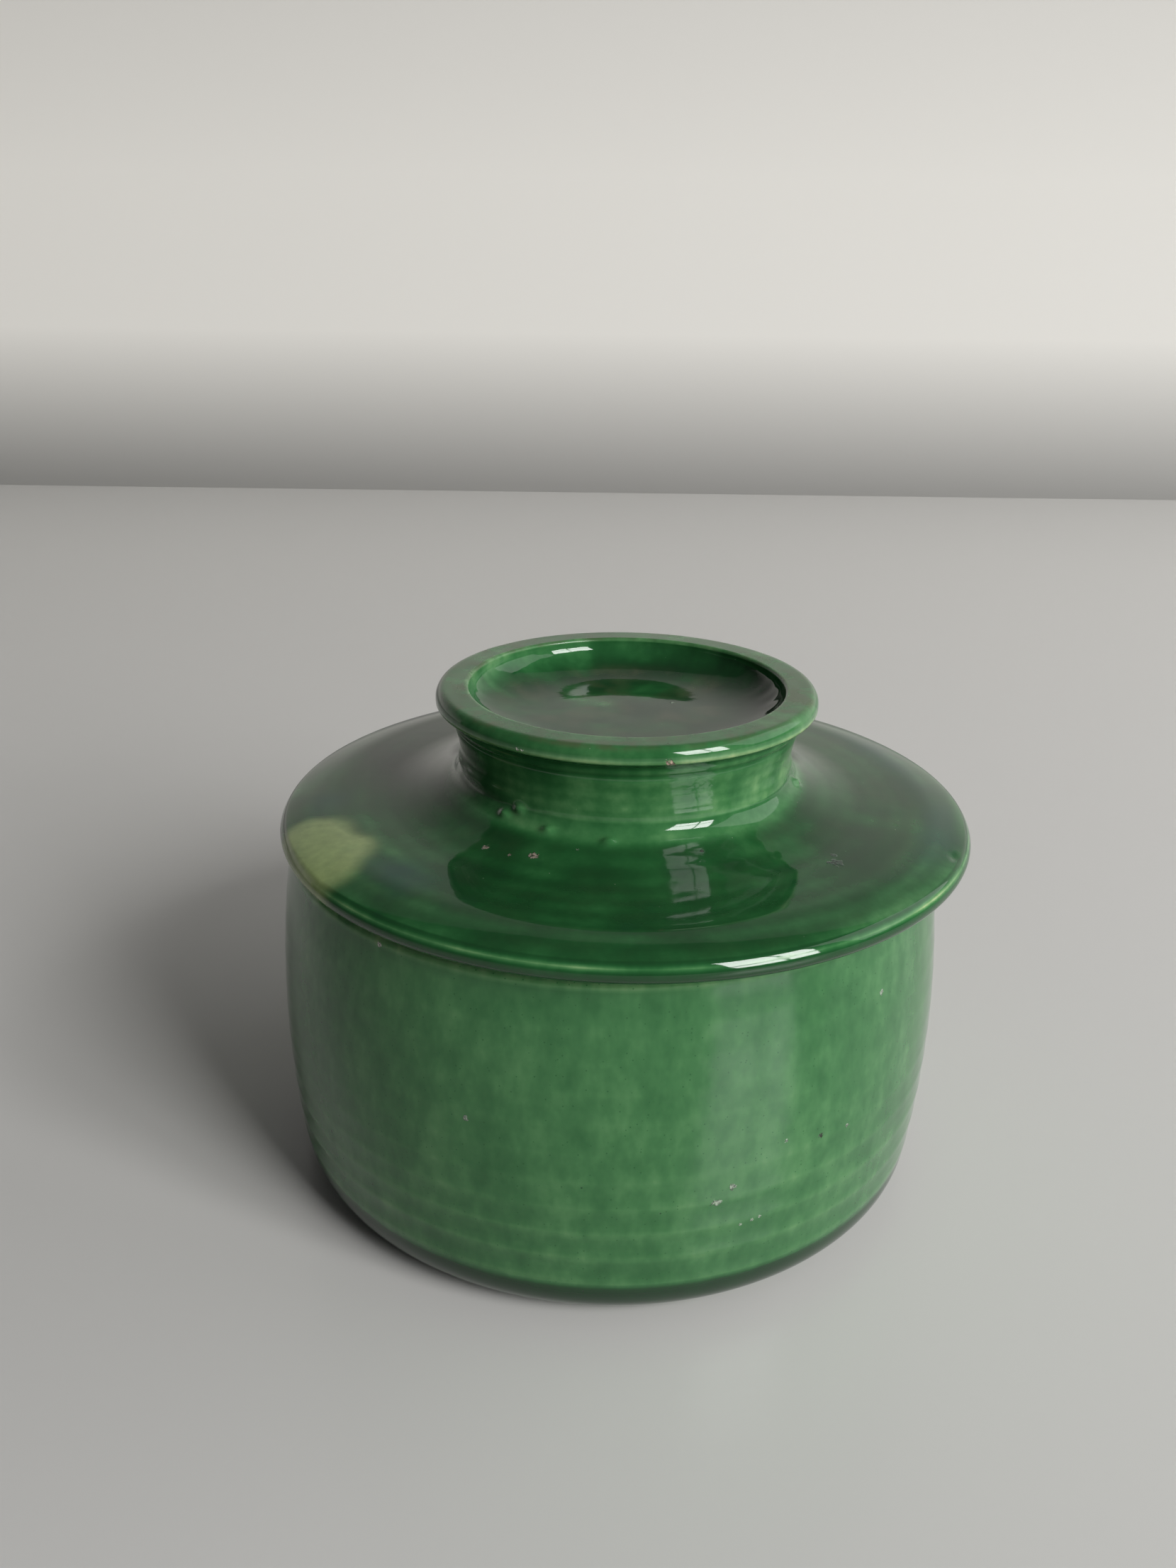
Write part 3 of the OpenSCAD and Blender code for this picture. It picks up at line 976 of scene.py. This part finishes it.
def finish_glaze(nodes, where, colour, height, roughness):
    """Gloss, relief and bare clay, the same for every glazed piece. The relief's height is in mm."""
    bare = nodes.mark("bare")
    grain = nodes.noise(where, 1400, 3)
    clay = nodes.mix(nodes.rise(grain, -0.2, 0.2), BARE_CLAY, darker(BARE_CLAY, CLAY_SHADE))
    nodes.put(nodes.mix(bare, colour, clay), nodes.shader.inputs["Base Color"])
    dull = nodes.math("MULTIPLY_ADD", bare, BARE_ROUGHNESS, roughness)
    dull = nodes.math("MULTIPLY_ADD", nodes.mark("worn"), WORN_ROUGHNESS, dull)
    nodes.put(dull, nodes.shader.inputs["Roughness"])
    rough_clay = nodes.math("MULTIPLY", nodes.math("MULTIPLY", grain, bare), 0.25)
    height = nodes.math("ADD", height, rough_clay)
    bump = nodes.add("ShaderNodeBump", inputs={"Strength": 1.0, "Distance": MM, "Height": height})
    nodes.put(bump.outputs[0], nodes.shader.inputs["Normal"])
    nodes.shader.inputs["IOR"].default_value = GLAZE_IOR
    return nodes.material


def crock_glaze(name, flecks):
    """The crock's glaze: soft upright mottles, many fine dark specks and some pinholes."""
    nodes = Nodes(name)
    where = nodes.add("ShaderNodeTexCoord").outputs["Object"]
    streaks = nodes.noise(nodes.stretched(where, (1, 1, 0.55)), 330, 2)
    mottle = nodes.noise(nodes.stretched(where, (1, 1, 0.7)), 800, 3)
    cloud = nodes.noise(nodes.stretched(where, (1, 1, 0.5)), 110, 2)
    thickness = nodes.math("MULTIPLY_ADD", streaks, CROCK_STREAKS, nodes.mark("glaze"))
    thickness = nodes.math("MULTIPLY_ADD", mottle, CROCK_MOTTLE, thickness)
    thickness = nodes.math("MULTIPLY_ADD", cloud, CROCK_CLOUD, thickness)
    specks = nodes.dots(where, spacing=0.9 * MM, size=0.16 * MM, share=0.35)
    thickness = nodes.math("MULTIPLY_ADD", specks, CROCK_SPECKS, thickness)
    pinholes = nodes.dots(where, spacing=6 * MM, size=0.25 * MM, share=0.5)
    thickness = nodes.math("MULTIPLY_ADD", pinholes, CROCK_PINHOLES, thickness)
    colour = glaze_ramp(nodes, thickness)
    height = nodes.math("MULTIPLY", nodes.noise(where, 260, 2), 0.022)
    height = nodes.math("MULTIPLY_ADD", pinholes, -0.05, height)
    colour, height = add_flecks(nodes, where, colour, height, flecks)
    roughness = nodes.math("MULTIPLY_ADD", nodes.noise(where, 60, 3), 0.05, CROCK_ROUGHNESS)
    return finish_glaze(nodes, where, colour, height, roughness)


def lid_glaze(name):
    """The lid's glaze: cloudy and dark, with its yellow flash, blue tinges, worn foot, and dust with
    painted sheen.
    """
    nodes = Nodes(name)
    where = nodes.add("ShaderNodeTexCoord").outputs["Object"]
    cloud = nodes.noise(where, 150, 4)
    mottle = nodes.noise(where, 620, 3)
    thickness = nodes.math("MULTIPLY_ADD", cloud, LID_CLOUD, nodes.mark("glaze"))
    thickness = nodes.math("MULTIPLY_ADD", mottle, LID_MOTTLE, thickness)
    colour = glaze_ramp(nodes, thickness)
    blue = nodes.math("MULTIPLY_ADD", cloud, 0.8, nodes.mark("blue"))
    blue = nodes.math("MULTIPLY", nodes.rise(blue, 0.1, 1.0), BLUE_SHARE)
    colour = nodes.mix(blue, colour, BLUE_TINGE)
    ragged = nodes.math("MULTIPLY_ADD", cloud, 1.3, 1.0)
    yellow = nodes.math("MULTIPLY", nodes.mark("yellow"), ragged)
    flash = nodes.mix(nodes.rise(mottle, -0.2, 0.2), YELLOW_FLASH, darker(YELLOW_FLASH, FLASH_SHADE))
    colour = nodes.mix(nodes.rise(yellow, 0.0, 1.0), colour, flash)
    patchy = nodes.rise(nodes.noise(where, 300, 4), -0.12, 0.08)
    worn = nodes.math("MULTIPLY", nodes.mark("worn"), patchy)
    colour = nodes.mix(nodes.math("MULTIPLY", worn, WORN_SHARE), colour, WORN_GREEN)
    # Dust and painted sheen: a grey-brown film laid over the glaze.
    smeared = nodes.rise(nodes.noise(where, 240, 4), -0.18, 0.14)
    film = nodes.math("MULTIPLY", nodes.mark("dust_and_sheen"), smeared)
    colour = nodes.mix(nodes.math("MULTIPLY", film, DUST_AND_SHEEN_SHARE), colour, DUST_AND_SHEEN)
    specks = nodes.dots(where, spacing=2.2 * MM, size=0.09 * MM, share=0.25)
    colour = nodes.mix(nodes.math("MULTIPLY", specks, SPECK_SHARE), colour, SPECK)
    height = nodes.math("MULTIPLY", nodes.noise(where, 300, 2), 0.010)
    height = nodes.math("MULTIPLY_ADD", specks, 0.03, height)
    colour, height = add_flecks(nodes, where, colour, height, LID_FLECKS)
    thin = nodes.math("MULTIPLY", nodes.rise(thickness, 1.3, 0.6), THIN_ROUGHNESS)
    roughness = nodes.math("ADD", thin, LID_ROUGHNESS)
    roughness = nodes.math("MULTIPLY_ADD", nodes.noise(where, 70, 3), 0.05, roughness)
    return finish_glaze(nodes, where, colour, height, roughness)


# ---------------------------------------------------------------------------
# Floor, light and camera
# ---------------------------------------------------------------------------

# The camera as solved from the photograph: its place in metres, its tilt and roll in degrees, and
# its lens in mm.
CAMERA_PLACE = (-0.00457, -0.2371, 0.1713)
CAMERA_TILT = 22.18
CAMERA_ROLL = 0.749
CAMERA_LENS = 30.6
CAMERA_NEAR = 0.01

FLOOR_COLOUR = (0.64, 0.63, 0.61)
FLOOR_ROUGHNESS = 0.25
FLOOR_FRONT = -3.0
FLOOR_BACK = 0.75
FLOOR_HALF_WIDTH = 2.5
SWEEP_R = 0.2
WALL_TOP = 1.4
WALL_COLOUR = (0.40, 0.395, 0.38)
WALL_LIGHT = (1.0, 0.965, 0.89, 1.0)
WALL_GLOW = 0.40

# Heights between which the wall's own light comes up from the floor, and from the top.
GLOW_FROM_FLOOR = (0.0, 0.1)
GLOW_FROM_TOP = (0.85, 0.22)

# Every light faces a point at this height above the origin.
LIGHT_AIM_Z = 0.06
WINDOW_AZIMUTH = 46
WINDOW_ELEVATION = 29
WINDOW_DISTANCE = 1.6
WINDOW_SIZE = 0.74
WINDOW_POWER = 31.0
BAR_WIDTH = 0.030
BAR_GAP = 0.03
BAR_COLOUR = (0.05, 0.05, 0.05)
ROOM_LIGHT = (0.92, 0.96, 1.0, 1.0)
ROOM_STRENGTH = 0.04


def plain(name, colour, roughness):
    material = bpy.data.materials.new(name)
    material.use_nodes = True
    shader = material.node_tree.nodes["Principled BSDF"]
    shader.inputs["Base Color"].default_value = (*colour, 1.0)
    shader.inputs["Roughness"].default_value = roughness
    return material


def glowing_wall():
    """The wall behind: a soft light of its own that fades towards the floor and towards the top."""
    nodes = Nodes("wall_glow")
    nodes.shader.inputs["Base Color"].default_value = (*WALL_COLOUR, 1.0)
    nodes.shader.inputs["Roughness"].default_value = 0.9
    where = nodes.add("ShaderNodeTexCoord").outputs["Object"]
    height = nodes.add("ShaderNodeSeparateXYZ", inputs={0: where}).outputs["Z"]
    from_floor = nodes.rise(height, *GLOW_FROM_FLOOR)
    from_top = nodes.rise(height, *GLOW_FROM_TOP)
    glow = nodes.math("MULTIPLY", from_floor, from_top)
    nodes.shader.inputs["Emission Color"].default_value = WALL_LIGHT
    nodes.put(nodes.math("MULTIPLY", glow, WALL_GLOW), nodes.shader.inputs["Emission Strength"])
    return nodes.material


def swept(name, line, material):
    """A sheet that follows a line of points (y, z), from side to side."""
    verts = [(x, y, z) for y, z in line for x in (-FLOOR_HALF_WIDTH, FLOOR_HALF_WIDTH)]
    faces = [(2 * k, 2 * k + 1, 2 * k + 3, 2 * k + 2) for k in range(len(line) - 1)]
    mesh = bpy.data.meshes.new(name)
    mesh.from_pydata(verts, [], faces)
    mesh.shade_smooth()
    mesh.materials.append(material)
    link(name, mesh)


def make_floor():
    """A pale floor, and a pale wall behind it that rises in a sweep."""
    pale = plain("floor_pale", FLOOR_COLOUR, FLOOR_ROUGHNESS)
    swept("floor", [(FLOOR_FRONT, 0.0), (FLOOR_BACK, 0.0)], pale)
    curve = arc((FLOOR_BACK, SWEEP_R), SWEEP_R, -90, 0, 24).tolist()
    swept("wall", curve + [[FLOOR_BACK + SWEEP_R, WALL_TOP]], glowing_wall())


def light_direction(azimuth, elevation):
    """Unit vector towards a light. Azimuth 0 is towards the viewer, and 90 is +X."""
    a, e = math.radians(azimuth), math.radians(elevation)
    return Vector((math.sin(a) * math.cos(e), -math.cos(a) * math.cos(e), math.sin(e)))


def soft_light(name, azimuth, elevation, distance, width, height, power):
    """A rectangular light that faces the object."""
    light = bpy.data.lights.new(name, "AREA")
    light.shape = "RECTANGLE"
    light.size, light.size_y = width, height
    light.energy = power
    lamp = link(name, light)
    towards = light_direction(azimuth, elevation)
    lamp.location = towards * distance + Vector((0, 0, LIGHT_AIM_Z))
    lamp.rotation_euler = towards.to_track_quat("Z", "Y").to_euler()


def window_bars():
    """Two thin bars before the window, which split its reflection."""
    towards = light_direction(WINDOW_AZIMUTH, WINDOW_ELEVATION)
    centre = towards * (WINDOW_DISTANCE - BAR_GAP) + Vector((0, 0, LIGHT_AIM_Z))
    turn = towards.to_track_quat("Z", "Y")
    for name, width, height, offset in (
        ("bar_upright", BAR_WIDTH, WINDOW_SIZE, Vector((0.08, 0, 0))),
        ("bar_level", WINDOW_SIZE, BAR_WIDTH, Vector((0, -0.1, 0))),
    ):
        corners = [(-width, -height), (width, -height), (width, height), (-width, height)]
        verts = [centre + turn @ (offset + Vector((x / 2, y / 2, 0))) for x, y in corners]
        mesh = bpy.data.meshes.new(name)
        mesh.from_pydata(verts, [], [(0, 1, 2, 3)])
        mesh.materials.append(plain(name, BAR_COLOUR, 0.9))
        bar = link(name, mesh)
        bar.visible_camera = False


def make_lights():
    soft_light(
        "window", WINDOW_AZIMUTH, WINDOW_ELEVATION, WINDOW_DISTANCE,
        width=WINDOW_SIZE, height=WINDOW_SIZE, power=WINDOW_POWER,
    )
    soft_light("side_light", azimuth=98, elevation=30, distance=1.8, width=1.6, height=1.2, power=8.0)
    window_bars()
    world = bpy.data.worlds.new("room")
    world.use_nodes = True
    background = world.node_tree.nodes["Background"]
    background.inputs["Color"].default_value = ROOM_LIGHT
    background.inputs["Strength"].default_value = ROOM_STRENGTH
    bpy.context.scene.world = world


def make_camera():
    camera = link("camera", bpy.data.cameras.new("camera"))
    camera.data.lens = CAMERA_LENS
    tilt = Matrix.Rotation(math.radians(90 - CAMERA_TILT), 4, "X")
    roll = Matrix.Rotation(math.radians(CAMERA_ROLL), 4, "Z")
    camera.matrix_world = Matrix.Translation(CAMERA_PLACE) @ tilt @ roll
    camera.data.clip_start = CAMERA_NEAR
    bpy.context.scene.camera = camera


make_camera()
make_floor()
make_lights()

crock = make_crock()
bell, brim, ring = make_lid()
crock.data.materials.append(crock_glaze("crock_glaze", CROCK_FLECKS))
dark_glaze = lid_glaze("lid_glaze")
brim.data.materials.append(dark_glaze)
ring.data.materials.append(dark_glaze)
bell.data.materials.append(crock_glaze("bell_glaze", ()))

bpy.context.scene.view_settings.view_transform = "Standard"
